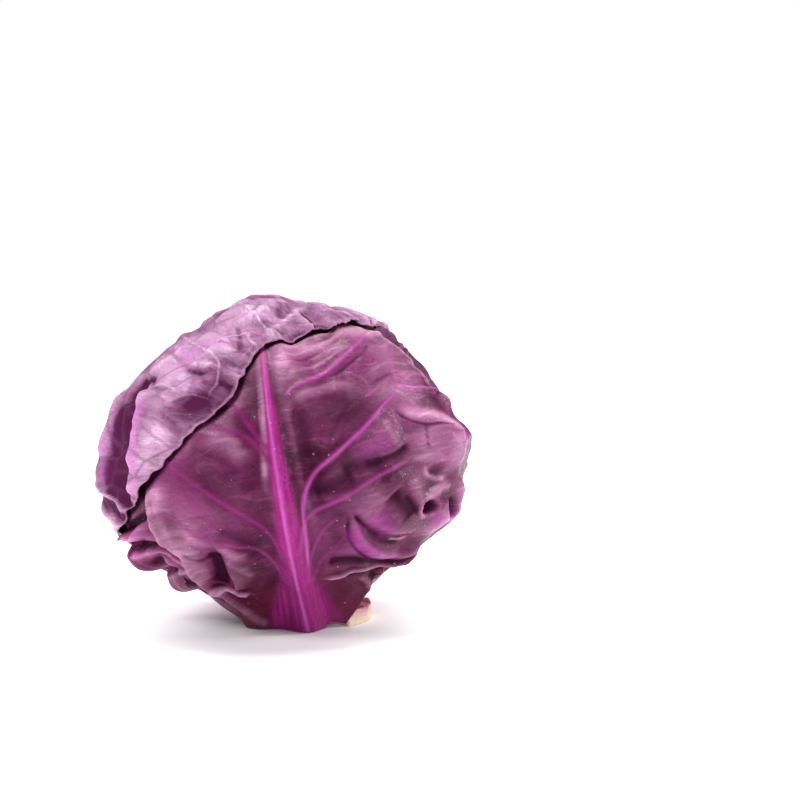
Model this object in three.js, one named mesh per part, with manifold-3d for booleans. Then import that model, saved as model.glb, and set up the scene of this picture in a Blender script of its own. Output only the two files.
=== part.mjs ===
// A head of red cabbage standing on its cut stalk, in two nodes by colour: the purple head and the pale stalk.
// Tightly folded inner leaves make the core of the head, and five wrapper leaves lie round it in a spiral, each
// over the ones inside it. They all grow from a collar round the stalk. A leaf is drawn flat, in millimetres
// from its own middle: x across it and y from foot to tip. It is then wrapped on the head, where the layers
// under it set how far out it lies.
// Millimetres. +Z is up, -Y is the front, and the origin is the middle of the stalk's cut face.
import * as THREE from "three";
import { mergeVertices } from "three/addons/utils/BufferGeometryUtils.js";
import Module from "manifold-3d";

// Driving dimensions of the head
const headCentre = new THREE.Vector3(-10, 0, 67.3);
const headLean = 8.3; // degrees that the crown leans to -X, so that the feet meet over the stalk
const wrapRadius = 72; // the radius on which a flat leaf is wrapped
const core = { wide: 70.5, deep: 69, crown: 62, belly: 52, widthSteps: 32, heightSteps: 16 };
const collar = { radius: 25, from: 8.8, to: 23, sides: 40 }; // where the leaves grow from

// Driving dimensions of a leaf
const bladeThickness = 1;
const layerGap = 2.1;
const coreGap = 1.3;
const drape = 18; // how far outside an edge under it a leaf starts to lift
const coverMargin = 3; // and how far outside that edge it has lifted in full
const press = { from: 12, to: 4 }; // from how far outside a leaf over it, to where, a leaf's relief is pressed flat
const floorGap = 0.3;
const root = { depth: 11, reach: 0.09 }; // how far a foot thickens inwards, over this share of the leaf's length
const neck = { startsAt: 44, endsAt: 21 }; // degrees from straight down, between which a foot bends down

// The stalk, and the stubs of trimmed leaves on it
const stalk = { radius: 20, top: 17.5, sides: 40, clearance: 0.3 };
const stubs = [{ azimuth: 80, reach: 28.5, halfAngle: 21, height: 7.5 }];

const colours = { head: 0x743364, stalk: 0xe0c3ad };

// The wrapper leaves, from the inside out. azimuth is in degrees, 0 at the front and +90 at +X.
// half lists the half-width from foot to tip, and rise how far a row of the leaf climbs from rib to edge.
// Side veins leave the rib at the shares of its length in veins.from, and meet the edge at veins.to.
const plainSide = {
  half: [30, 60, 86, 98, 92, 70, 34],
  rise: [-9, 6, 18, 22, 14, 2, -12],
  veinsTo: [0.17, 0.35, 0.52, 0.69, 0.84],
};
const plainVeins = [0.1, 0.26, 0.42, 0.58, 0.75];
const leaves = [
  {
    name: "leaf_right",
    azimuth: 65,
    foot: -87,
    tip: 112,
    neckDrop: 1,
    veinsFrom: plainVeins,
    left: plainSide,
    right: plainSide,
    rib: { height: 6, half: 11 },
    ruffle: { height: 3.5, count: 6, phase: 0.55, reach: 0.32 },
    folds: [],
  },
  {
    name: "leaf_left",
    azimuth: -78,
    foot: -87,
    tip: 116,
    neckDrop: 3,
    veinsFrom: plainVeins,
    left: plainSide,
    right: plainSide,
    rib: { height: 6, half: 11 },
    ruffle: { height: 3, count: 5, phase: 0, reach: 0.3 },
    folds: [
      { from: [46, -16], to: [8, -9], width: 5, height: 5 },
      { from: [48, -29], to: [6, -20], width: 5, height: 6 },
      { from: [55, -42], to: [12, -36], width: 6, height: 6 },
      { from: [50, -62], to: [20, -53], width: 6, height: 5 },
    ],
  },
  {
    name: "leaf_right_back",
    azimuth: 138,
    foot: -87,
    tip: 120,
    neckDrop: 4.5,
    veinsFrom: plainVeins,
    left: plainSide,
    right: plainSide,
    rib: { height: 7, half: 12 },
    ruffle: { height: 3.5, count: 5, phase: 0.4, reach: 0.3 },
    folds: [],
  },
  {
    name: "leaf_front",
    azimuth: 2.5,
    foot: -88,
    tip: 88,
    neckDrop: 9,
    veinsFrom: [0.12, 0.29, 0.4, 0.47, 0.7],
    left: {
      half: [33, 40, 45, 57, 64, 64, 44],
      rise: [-7, -1, 3, 6, 8, 6, -2],
      veinsTo: [0.22, 0.45, 0.6, 0.74, 0.9],
    },
    right: {
      half: [28, 46, 68, 100, 98, 88, 78],
      rise: [-8, -6, -13, -20, -24, -28, -26],
      veinsTo: [0.2, 0.4, 0.67, 0.88, 0.97],
    },
    rib: { height: 7.5, half: 13 },
    ruffle: { height: 2.5, count: 5, phase: 0.1, reach: 0.25 },
    folds: [
      { from: [46, -20], to: [82, -32], width: 10, height: 6 },
      { from: [74, 4], to: [96, 0], width: 12, height: 4 },
      { from: [38, -44], to: [60, -55], width: 7, height: 3.5 },
    ],
  },
  {
    name: "leaf_top",
    azimuth: -125,
    foot: -87,
    tip: 150,
    neckDrop: 7.5,
    veinsFrom: plainVeins,
    left: {
      half: [28, 58, 84, 98, 104, 96, 66],
      rise: [-9, 4, 12, 14, 6, -6, -17],
      veinsTo: [0.17, 0.35, 0.52, 0.69, 0.84],
    },
    right: {
      half: [28, 42, 87, 111, 118, 91, 52],
      rise: [-9, 2, 2, 2, 0, 0, -7],
      veinsTo: [0.17, 0.35, 0.52, 0.69, 0.84],
    },
    rib: { height: 7.5, half: 13 },
    ruffle: { height: 2, count: 6, phase: 0.3, reach: 0.2 },
    folds: [{ from: [50, 38], to: [70, -10], width: 12, height: 5 }],
  },
];

const ribRow = [0, 0.45, 1]; // where the columns over the rib stand, in its half-width
const columnShares = [0.14, 0.28, 0.43, 0.58, 0.72, 0.86, 1]; // the other columns, from the rib's foot to the edge
const rowsPerGap = 4; // rows of faces from one side vein to the next
const veinHeight = 2;
const ribTipHalf = 1.5; // half the rib's width where it ends

const radians = Math.PI / 180;
const clamp = (value, low, high) => Math.min(Math.max(value, low), high);

function smooth(low, high, value) {
  const t = clamp((value - low) / (high - low), 0, 1);
  return t * t * (3 - 2 * t);
}

// The value at t, from 0 to 1, of a smooth curve through evenly spaced values.
function along(values, t) {
  const last = values.length - 1;
  const place = clamp(t, 0, 1) * last;
  const i = Math.min(Math.floor(place), last - 1);
  const f = place - i;
  const [a, b, c, d] = [-1, 0, 1, 2].map((step) => values[clamp(i + step, 0, last)]);
  return b + 0.5 * f * (c - a + f * (2 * a - 5 * b + 4 * c - d + f * (3 * (b - c) + d - a)));
}

// A leaf's own directions in the head's frame: straight out through its middle, and to its right.
for (const leaf of leaves) {
  const turn = leaf.azimuth * radians;
  leaf.out = new THREE.Vector3(Math.sin(turn), -Math.cos(turn), 0);
  leaf.side = new THREE.Vector3(Math.cos(turn), Math.sin(turn), 0);
}

// The flat leaf: a runs from foot to tip, and v from -1 at the left edge through 0 on the rib to 1.
function flatPoint(leaf, a, x) {
  const side = x < 0 ? leaf.left : leaf.right;
  const share = Math.min(Math.abs(x) / along(side.half, a), 1);
  return THREE.MathUtils.lerp(leaf.foot, leaf.tip, a) + along(side.rise, a) * share ** 1.5;
}

function wrap(leaf, x, y) {
  const length = Math.max(Math.hypot(x, y), 1e-6);
  const angle = length / wrapRadius;
  const share = Math.sin(angle) / length;
  return new THREE.Vector3(0, 0, share * y)
    .addScaledVector(leaf.out, Math.cos(angle))
    .addScaledVector(leaf.side, share * x);
}

function unwrap(leaf, direction) {
  const across = direction.dot(leaf.side);
  const angle = Math.acos(clamp(direction.dot(leaf.out), -1, 1));
  const scale = (angle * wrapRadius) / Math.max(Math.hypot(across, direction.z), 1e-6);
  return [across * scale, direction.z * scale];
}

// How far inside its outline a leaf holds a direction, in millimetres. It is negative outside.
function insideBy(leaf, direction) {
  const [x, y] = unwrap(leaf, direction);
  const side = x < 0 ? leaf.left : leaf.right;
  let [low, high] = [0, 1];
  for (let step = 0; step < 12; step++) {
    const middle = (low + high) / 2;
    if (flatPoint(leaf, middle, x) < y) low = middle;
    else high = middle;
  }
  const edge = along(side.half, low) - Math.abs(x);
  return Math.min(edge, flatPoint(leaf, 1, x) - y, y - flatPoint(leaf, 0, x));
}

const cover = (leaf, direction) => smooth(-drape, -coverMargin, insideBy(leaf, direction));

const ribHalf = (leaf, a) => leaf.rib.half * (1 - a) ** 1.3 + ribTipHalf;

function ribProfile(leaf, direction, spread) {
  const [x, y] = unwrap(leaf, direction);
  const a = clamp((y - leaf.foot) / (leaf.tip - leaf.foot), 0, 1);
  const half = ribHalf(leaf, a) * spread;
  return leaf.rib.height * (1 - a) * smooth(half, half * 0.3, Math.abs(x));
}

function coreRadius(direction) {
  const upright = direction.z < 0 ? core.belly : core.crown;
  const { x, y, z } = direction;
  return 1 / Math.sqrt((x / core.wide) ** 2 + (y / core.deep) ** 2 + (z / upright) ** 2);
}

// How far out the inner face of a leaf lies: over the core, every leaf inside it, and their pressed ribs.
const pressedRib = 0.4;
function layerRadius(order, direction) {
  const fromDown = Math.acos(clamp(-direction.z, -1, 1)) / radians;
  const bend = smooth(neck.startsAt, neck.endsAt, fromDown);
  let radius = coreRadius(direction) + coreGap + leaves[order].neckDrop * bend;
  for (const leaf of leaves.slice(0, order)) {
    radius += cover(leaf, direction) * (bladeThickness + layerGap);
    radius += pressedRib * ribProfile(leaf, direction, 1.9);
  }
  return radius;
}

function ridge(fold, x, y) {
  const [ax, ay] = fold.from;
  const [bx, by] = fold.to;
  const share = clamp(((x - ax) * (bx - ax) + (y - ay) * (by - ay)) / ((bx - ax) ** 2 + (by - ay) ** 2), 0, 1);
  const distance = Math.hypot(x - ax - share * (bx - ax), y - ay - share * (by - ay));
  return fold.height * Math.exp(-((distance / fold.width) ** 2));
}

// From the head's frame to the part's own.
const leanTurn = new THREE.Quaternion().setFromAxisAngle(new THREE.Vector3(0, 1, 0), -headLean * radians);
function place(direction, radius) {
  return direction.clone().applyQuaternion(leanTurn).multiplyScalar(radius).add(headCentre);
}

// Feet bend round the stalk, just clear of it, and stand a little off the floor.
function fitFoot(point) {
  const reach = Math.hypot(point.x, point.y);
  const least = (stalk.radius + 1.1) * smooth(stalk.top + 14, stalk.top + 0.5, point.z);
  if (reach < least) {
    point.x *= least / reach;
    point.y *= least / reach;
  }
  point.z = Math.max(point.z, floorGap);
  return point;
}

function closedGeometry(points, triangles) {
  const geometry = new THREE.BufferGeometry().setFromPoints(points);
  geometry.setIndex(triangles);
  geometry.computeVertexNormals();
  return geometry;
}

// The rows of one side of a leaf follow its side veins, so that each vein is a crease of the mesh.
function rowShares(leaf, side, share) {
  const knots = [0, ...leaf.veinsFrom.map((from, i) => from + (side.veinsTo[i] - from) * share ** 0.8), 1];
  const rows = [];
  for (let i = 0; i < knots.length - 1; i++)
    for (let step = 0; step < rowsPerGap; step++)
      rows.push({ a: knots[i] + ((knots[i + 1] - knots[i]) * step) / rowsPerGap, vein: i > 0 && step === 0 });
  rows.push({ a: 1, vein: false });
  return rows;
}

function leafGeometry(order) {
  const leaf = leaves[order];
  const outer = leaves.slice(order + 1);
  const shares = [...ribRow.map((r) => [r, 0]), ...columnShares.map((s) => [1, s])];
  const columns = [...shares.slice(1).reverse().map((s) => [-1, ...s]), ...shares.map((s) => [1, ...s])];
  const inside = [];
  const outside = [];
  let rowCount = 0;
  for (const [sign, overRib, share] of columns) {
    const side = sign < 0 ? leaf.left : leaf.right;
    const rows = rowShares(leaf, side, share);
    rowCount = rows.length;
    for (const { a, vein } of rows) {
      const ribEdge = ribHalf(leaf, a);
      const x = sign * (ribEdge * overRib + (along(side.half, a) - ribEdge) * share);
      const y = flatPoint(leaf, a, x);
      const direction = wrap(leaf, x, y);
      const free = 1 - Math.max(0, ...outer.map((other) => smooth(-press.from, -press.to, insideBy(other, direction))));
      const toEdge = smooth(1 - leaf.ruffle.reach, 1, share);
      const wave = 0.5 + 0.5 * Math.sin(2 * Math.PI * (leaf.ruffle.count * a + leaf.ruffle.phase + sign * 0.1));
      const away = smooth(0.03, 0.16, a);
      let lift = leaf.ruffle.height * toEdge * wave + leaf.folds.reduce((sum, f) => sum + ridge(f, x, y), 0);
      lift *= free * away;
      const crest = overRib < 1 ? smooth(1, 0.4, overRib) * leaf.rib.height * (1 - a) : 0;
      const raised = vein && overRib === 1 ? veinHeight * (1 - 0.6 * share) * free : 0;
      const thickness = bladeThickness + crest * (pressedRib + (1 - pressedRib) * free) + raised;
      const base = layerRadius(order, direction) + lift;
      const rooted = root.depth * smooth(root.reach, 0, a);
      inside.push(fitFoot(place(direction, base - rooted)));
      outside.push(fitFoot(place(direction, base + thickness)));
    }
  }
  const triangles = [];
  const half = inside.length;
  const quad = (a, b, c, d) => triangles.push(a, b, c, a, c, d);
  for (let i = 0; i < columns.length - 1; i++)
    for (let j = 0; j < rowCount - 1; j++) {
      const a = i * rowCount + j;
      const b = a + rowCount;
      quad(half + a, half + b, half + b + 1, half + a + 1);
      triangles.push(a, b + 1, b, a, a + 1, b + 1);
    }
  const lastColumn = (columns.length - 1) * rowCount;
  for (let j = 0; j < rowCount - 1; j++) {
    quad(j, half + j, half + j + 1, j + 1);
    quad(lastColumn + j + 1, half + lastColumn + j + 1, half + lastColumn + j, lastColumn + j);
  }
  for (let i = 0; i < columns.length - 1; i++) {
    const foot = i * rowCount;
    const tip = foot + rowCount - 1;
    quad(foot + rowCount, half + foot + rowCount, half + foot, foot);
    quad(tip, half + tip, half + tip + rowCount, tip + rowCount);
  }
  return closedGeometry([...inside, ...outside], triangles);
}

const wasm = await Module();
wasm.setup();

function toSolid(source) {
  const bare = source.index ? source.toNonIndexed() : source.clone();
  bare.deleteAttribute("normal");
  bare.deleteAttribute("uv");
  const merged = mergeVertices(bare, 1e-4);
  const triVerts = [];
  for (let i = 0; i < merged.index.count; i += 3) {
    const [a, b, c] = merged.index.array.slice(i, i + 3);
    if (a !== b && b !== c && c !== a) triVerts.push(a, b, c); // a lathe leaves empty ones on its axis
  }
  return new wasm.Manifold(
    new wasm.Mesh({
      numProp: 3,
      vertProperties: merged.attributes.position.array,
      triVerts: new Uint32Array(triVerts),
    }),
  );
}

function toGeometry(solid) {
  const made = solid.getMesh();
  const geometry = new THREE.BufferGeometry();
  geometry.setAttribute("position", new THREE.BufferAttribute(made.vertProperties, 3));
  geometry.setIndex(new THREE.BufferAttribute(made.triVerts, 1));
  geometry.computeVertexNormals();
  return geometry;
}

// A round solid on the part's own axis, from the radius and height of each step up its side.
function turned(steps, sides) {
  const profile = steps.map(([radius, z]) => new THREE.Vector2(radius, z));
  return toSolid(new THREE.LatheGeometry(profile, sides).rotateX(Math.PI / 2));
}

// The stalk without its stubs, made wider and taller all round by the clearance.
function bareStalk(clearance) {
  const radius = stalk.radius + clearance;
  const foot = clearance > 0 ? [[0, -clearance], [radius, -clearance]] : [[0, 0], [radius - 1, 0], [radius, 1.2]];
  return turned([...foot, [radius, 9], [radius - 3, stalk.top + clearance], [0, stalk.top + clearance]], stalk.sides);
}

// The cut stalk, with the stubs left where outer leaves were trimmed off.
function stalkGeometry() {
  let solid = bareStalk(0);
  for (const stub of stubs) {
    const turn = stub.halfAngle * radians;
    const outline = new THREE.Shape();
    outline.moveTo(stalk.radius * 0.4, 0);
    outline.lineTo(stub.reach * Math.cos(turn), -stub.reach * Math.sin(turn));
    outline.absarc(0, 0, stub.reach, -turn, turn, false);
    const block = new THREE.ExtrudeGeometry(outline, {
      depth: stub.height,
      curveSegments: 6,
      bevelEnabled: false,
    });
    block.translate(0, 0, floorGap).rotateZ((stub.azimuth - 90) * radians);
    solid = solid.add(toSolid(block));
  }
  return toGeometry(solid);
}

function coreSolid() {
  const ball = new THREE.SphereGeometry(1, core.widthSteps, core.heightSteps).rotateX(Math.PI / 2);
  ball.deleteAttribute("normal");
  ball.deleteAttribute("uv");
  const geometry = mergeVertices(ball, 1e-5);
  const position = geometry.attributes.position;
  const direction = new THREE.Vector3();
  for (let i = 0; i < position.count; i++) {
    direction.fromBufferAttribute(position, i).normalize();
    const point = place(direction, coreRadius(direction));
    position.setXYZ(i, point.x, point.y, point.z);
  }
  return toSolid(geometry);
}

// The head: core, collar and leaves in one body. A pocket that the union closes off is filled.
function headGeometry() {
  const { radius, from, to, sides } = collar;
  const ring = turned([[0, from], [radius, from], [radius, to], [0, to]], sides);
  const middle = coreSolid().add(ring).subtract(bareStalk(stalk.clearance));
  const whole = wasm.Manifold.union([middle, ...leaves.map((_, order) => toSolid(leafGeometry(order)))]);
  const largestFirst = (a, b) => b.volume() - a.volume();
  return toGeometry(whole.decompose().sort(largestFirst)[0]);
}

function finish(color, roughness) {
  return new THREE.MeshStandardMaterial({ color, roughness, metalness: 0, side: THREE.DoubleSide });
}

function addMesh(group, name, geometry, material) {
  const mesh = new THREE.Mesh(geometry, material);
  mesh.name = name;
  group.add(mesh);
}

const cabbage = new THREE.Group();
addMesh(cabbage, "stalk", stalkGeometry(), finish(colours.stalk, 0.6));
addMesh(cabbage, "head", headGeometry(), finish(colours.head, 0.4));

export default cabbage;
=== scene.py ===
import math
import bpy
import numpy as np
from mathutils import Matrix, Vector


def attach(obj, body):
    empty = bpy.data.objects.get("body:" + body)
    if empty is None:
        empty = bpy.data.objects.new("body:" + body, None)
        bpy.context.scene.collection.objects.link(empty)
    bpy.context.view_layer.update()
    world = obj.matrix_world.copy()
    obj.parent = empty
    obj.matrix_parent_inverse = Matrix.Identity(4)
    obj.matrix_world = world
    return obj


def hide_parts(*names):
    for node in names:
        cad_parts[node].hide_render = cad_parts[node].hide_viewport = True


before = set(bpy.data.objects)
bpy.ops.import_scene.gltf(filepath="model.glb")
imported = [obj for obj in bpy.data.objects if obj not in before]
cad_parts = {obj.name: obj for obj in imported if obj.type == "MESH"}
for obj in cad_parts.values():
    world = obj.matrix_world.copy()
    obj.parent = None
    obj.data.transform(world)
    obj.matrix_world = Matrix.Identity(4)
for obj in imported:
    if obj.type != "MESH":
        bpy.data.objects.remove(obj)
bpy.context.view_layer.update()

# A head of red cabbage on its cut stalk. Each wrapper leaf is drawn flat, in millimetres from its own middle,
# with x across it and y from foot to tip, and is then wrapped on the layers that lie under it.
# +Z is up, -Y is the front, and the origin is the middle of the stalk's cut face.
mm = 0.001


def clearSelection():
    bpy.ops.object.select_all(action="DESELECT")


def hue(red, green, blue):
    # a colour as it looks on a screen, 0 to 255, made ready for a shader
    def straight(value):
        value /= 255
        return value / 12.92 if value <= 0.04045 else ((value + 0.055) / 1.055) ** 2.4
    return (straight(red), straight(green), straight(blue), 1)


def smooth(low, high, value):
    t = np.clip((value - low) / (high - low), 0, 1)
    return t * t * (3 - 2 * t)


def hump(away, width):
    return np.exp(-((away / width) ** 2))


def along(values, t):
    # the value at t, from 0 to 1, of a smooth curve through evenly spaced values
    v = np.asarray(values, float)
    last = len(v) - 1
    place = np.clip(t, 0, 1) * last
    i = np.minimum(place.astype(int), last - 1)
    f = place - i
    a, b, c, d = (v[np.clip(i + step, 0, last)] for step in (-1, 0, 1, 2))
    return b + 0.5 * f * (c - a + f * (2 * a - 5 * b + 4 * c - d + f * (3 * (b - c) + d - a)))


def softNoise(x, y, size, seed, layers=3):
    # rolling noise from -1 to 1, with bumps about as wide as size
    total = np.zeros_like(x)
    weight = 0
    for layer in range(layers):
        grid = np.random.default_rng(seed * 17 + layer).uniform(-1, 1, (64, 64))
        px = x / size * 2 ** layer + 31.7
        py = y / size * 2 ** layer + 17.3
        ix, iy = np.floor(px).astype(int), np.floor(py).astype(int)
        fx, fy = px - ix, py - iy
        fx, fy = fx * fx * (3 - 2 * fx), fy * fy * (3 - 2 * fy)
        low, high = (grid[ix % 64, row % 64] * (1 - fx) + grid[(ix + 1) % 64, row % 64] * fx for row in (iy, iy + 1))
        total += (low * (1 - fy) + high * fy) / 2 ** layer
        weight += 1 / 2 ** layer
    return total / weight * 1.5


def cellEdge(x, y, size, seed):
    # distance in mm from the edges of uneven cells, the way a leaf's small veins lie, and a number for each cell
    shifts = np.random.default_rng(seed).uniform(0.08, 0.92, (64, 64, 2))
    px, py = x / size + 29, y / size + 29
    ix, iy = np.floor(px).astype(int), np.floor(py).astype(int)
    nearest, second = np.full(x.shape, 9.0), np.full(x.shape, 9.0)
    facet = np.zeros_like(x)
    for sx in (-2, -1, 0, 1, 2):
        for sy in (-2, -1, 0, 1, 2):
            shift = shifts[(ix + sx) % 64, (iy + sy) % 64]
            away = np.hypot(ix + sx + shift[..., 0] - px, iy + sy + shift[..., 1] - py)
            second = np.minimum(second, np.maximum(nearest, away))
            facet = np.where(away < nearest, (shift[..., 0] * 7.3 + shift[..., 1] * 5.1) % 1, facet)
            nearest = np.minimum(nearest, away)
    return (second - nearest) * size / 2, facet


def nearLine(x, y, points):
    # how far each spot is from a drawn line, how far along the line that is, and on which side
    steps = np.hypot(*(points[1:] - points[:-1]).T)
    starts = np.concatenate([[0], np.cumsum(steps)])
    best = np.full(x.shape, 1e9)
    share, side = np.zeros_like(x), np.zeros_like(x)
    for i, (a, b) in enumerate(zip(points[:-1], points[1:])):
        run = b - a
        t = np.clip(((x - a[0]) * run[0] + (y - a[1]) * run[1]) / max(steps[i] ** 2, 1e-9), 0, 1)
        away = np.hypot(x - a[0] - t * run[0], y - a[1] - t * run[1])
        closer = away < best
        best = np.where(closer, away, best)
        share = np.where(closer, (starts[i] + t * steps[i]) / starts[-1], share)
        side = np.where(closer, np.sign(run[0] * (y - a[1]) - run[1] * (x - a[0])), side)
    return best, share, side


def curved(points, steps=5):
    # more points on a smooth line through the drawn ones
    points = np.asarray(points, float)
    t = np.linspace(0, 1, (len(points) - 1) * steps + 1)
    return np.stack([along(points[:, 0], t), along(points[:, 1], t)], -1)


def pointsOf(mesh):
    places = np.empty(len(mesh.vertices) * 3)
    mesh.vertices.foreach_get("co", places)
    return places.reshape(-1, 3)


def setPoints(mesh, places):
    mesh.vertices.foreach_set("co", (places * mm).ravel())
    mesh.update()


cameraSet = {"place": (0.041, -0.960, 0.183), "downTilt": 5.2, "lens": 100, "sensor": 36, "farEnd": 50}
lightSet = {  # where each lamp stands, how wide it is and its power; all look at the same spot
    "left": ((-0.85, -0.5, 0.85), 0.45, 11.0),
    "top": ((0.1, 0.1, 1.25), 0.55, 13.0),
    "right": ((1.05, 0.1, 0.45), 0.45, 10.0),
    "front": ((0.3, -1.3, 0.8), 0.3, 3.0),
}
lightsLookAt = Vector((-0.01, 0, 0.06))
skyStrength = 0.14

clearSelection()
bpy.ops.object.camera_add(location=cameraSet["place"], rotation=(math.radians(90 - cameraSet["downTilt"]), 0, 0))
camera = bpy.context.object
camera.name = "camera"
camera.data.lens = cameraSet["lens"]
camera.data.sensor_width = cameraSet["sensor"]
camera.data.clip_end = cameraSet["farEnd"]
bpy.context.scene.camera = camera
bpy.context.scene.view_settings.view_transform = "Standard"

for lightName, (place, width, power) in lightSet.items():
    aim = (lightsLookAt - Vector(place)).to_track_quat("-Z", "Y").to_euler()
    bpy.ops.object.light_add(type="AREA", location=place, rotation=aim)
    light = bpy.context.object
    light.name = lightName + "Light"
    light.data.shape = "DISK"
    light.data.size = width
    light.data.energy = power


def feed(target, value):
    # a socket gets a link, and anything else becomes the fixed value
    if isinstance(value, bpy.types.NodeSocket):
        target.id_data.links.new(value, target)
    else:
        target.default_value = value


def feedAll(made, values):
    for name, value in values.items():
        feed(made.inputs[name], value)


def node(tree, kind, *first, **values):
    # names with a small letter are the node's own settings; the others, and the first values, are its inputs
    made = tree.nodes.new("ShaderNode" + kind)
    for name, value in values.items():
        if name[0].islower():
            setattr(made, name, value)
        else:
            feed(made.inputs[name], value)
    for place, value in enumerate(first):
        feed(made.inputs[place], value)
    return made


def treeOf(values):
    return next(value.id_data for value in values if isinstance(value, bpy.types.NodeSocket))


def sums(kind, *values):
    return node(treeOf(values), "Math", *values, operation=kind).outputs[0]


def times(first, second):
    return sums("MULTIPLY", first, second)


def plus(height, factor, more):
    return sums("MULTIPLY_ADD", more, factor, height)


def vectorSums(kind, *values):
    return node(treeOf(values), "VectorMath", *values, operation=kind).outputs


def spread(value, low, high, toLow=0.0, toHigh=1.0):
    return node(value.id_data, "MapRange", value, low, high, toLow, toHigh,
                interpolation_type="SMOOTHSTEP").outputs["Result"]


def noise(vector, scale, detail=4.0, roughness=0.55, distortion=0.0):
    return node(vector.id_data, "TexNoise", Vector=vector, Scale=scale, Detail=detail, Roughness=roughness,
                Distortion=distortion).outputs["Fac"]


def stretched(vector, scale):
    return node(vector.id_data, "Mapping", Vector=vector, Scale=scale).outputs["Vector"]


def blend(factor, first, second):
    # a colour that goes from first to second; each is a socket, or a colour as on a screen
    mixed = node(treeOf((factor, first, second)), "Mix", factor, data_type="RGBA")
    for place, value in ((6, first), (7, second)):
        feed(mixed.inputs[place], hue(*value) if isinstance(value, tuple) else value)
    return mixed.outputs[2]


def bumped(height, strength, distance):
    return node(height.id_data, "Bump", Height=height, Strength=strength, Distance=distance).outputs["Normal"]


def newMaterial(name):
    made = bpy.data.materials.new(name)
    made.use_nodes = True
    return made, made.node_tree, made.node_tree.nodes["Principled BSDF"]


def newGroup(name, inputs, outputs):
    group = bpy.data.node_groups.new(name, "ShaderNodeTree")
    group.interface.new_socket(name="Vector", in_out="INPUT", socket_type="NodeSocketVector")
    for way, words in (("INPUT", inputs), ("OUTPUT", outputs)):
        for word in words:
            group.interface.new_socket(name=word, in_out=way, socket_type="NodeSocketFloat")
    return group, group.nodes.new("NodeGroupInput").outputs, group.nodes.new("NodeGroupOutput").inputs


def useGroup(group, vector, **values):
    return node(vector.id_data, "Group", node_tree=group, Vector=vector, **values).outputs


world = bpy.data.worlds.new("studio")
bpy.context.scene.world = world
world.use_nodes = True
sky = world.node_tree
seen = node(sky, "LightPath").outputs["Is Camera Ray"]
feedAll(sky.nodes["Background"], {"Color": (1, 1, 1, 1), "Strength": spread(seen, 0, 1, skyStrength, 1.0)})
print("camera and lights are set")

# The finest veins: an uneven net of thin lines, a little bent.
fineNet, netIn, netOut = newGroup("fine vein net", ["Cells", "Line"], ["Net"])
netBend = node(fineNet, "TexNoise", Vector=netIn["Vector"], Scale=9, Detail=2).outputs["Color"]
netSpot = vectorSums("MULTIPLY_ADD", netBend, (0.05, 0.05, 0.05), netIn["Vector"])["Vector"]
netCells = node(fineNet, "TexVoronoi", feature="DISTANCE_TO_EDGE", Vector=netSpot, Scale=netIn["Cells"])
feed(netOut["Net"], spread(netCells.outputs["Distance"], 0, netIn["Line"], 1, 0))

# Papery wrinkles: soft swellings parted by thin uneven creases.
wrinkles, wrinkleIn, wrinkleOut = newGroup("papery wrinkles", ["Size"], ["Swell", "Crease"])
wrinkleSwell = noise(wrinkleIn["Vector"], wrinkleIn["Size"], 5, 0.6, 1.1)
creaseAway = sums("ABSOLUTE", sums("SUBTRACT", wrinkleSwell, 0.5))
feed(wrinkleOut["Swell"], wrinkleSwell)
feed(wrinkleOut["Crease"], spread(creaseAway, 0.0, 0.035, 1.0, 0.0))

# Waxy bloom in rubbed patches, and a few tiny pale flecks.
waxBloom, waxIn, waxOut = newGroup("waxy bloom", ["Patch", "Fleck"], ["Bloom", "Flecks"])
feed(waxOut["Bloom"], spread(noise(waxIn["Vector"], waxIn["Patch"], 7, 0.62), 0.36, 0.66))
fleckCells = node(waxBloom, "TexVoronoi", Vector=waxIn["Vector"], Scale=waxIn["Fleck"]).outputs
fleckChoice = node(waxBloom, "SeparateColor", fleckCells["Color"]).outputs["Red"]  # most cells have no fleck
fleckSize = node(waxBloom, "MapRange", fleckChoice, 0.72, 1.0, 0.0, 0.17).outputs["Result"]
feed(waxOut["Flecks"], sums("LESS_THAN", fleckCells["Distance"], fleckSize))


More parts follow.
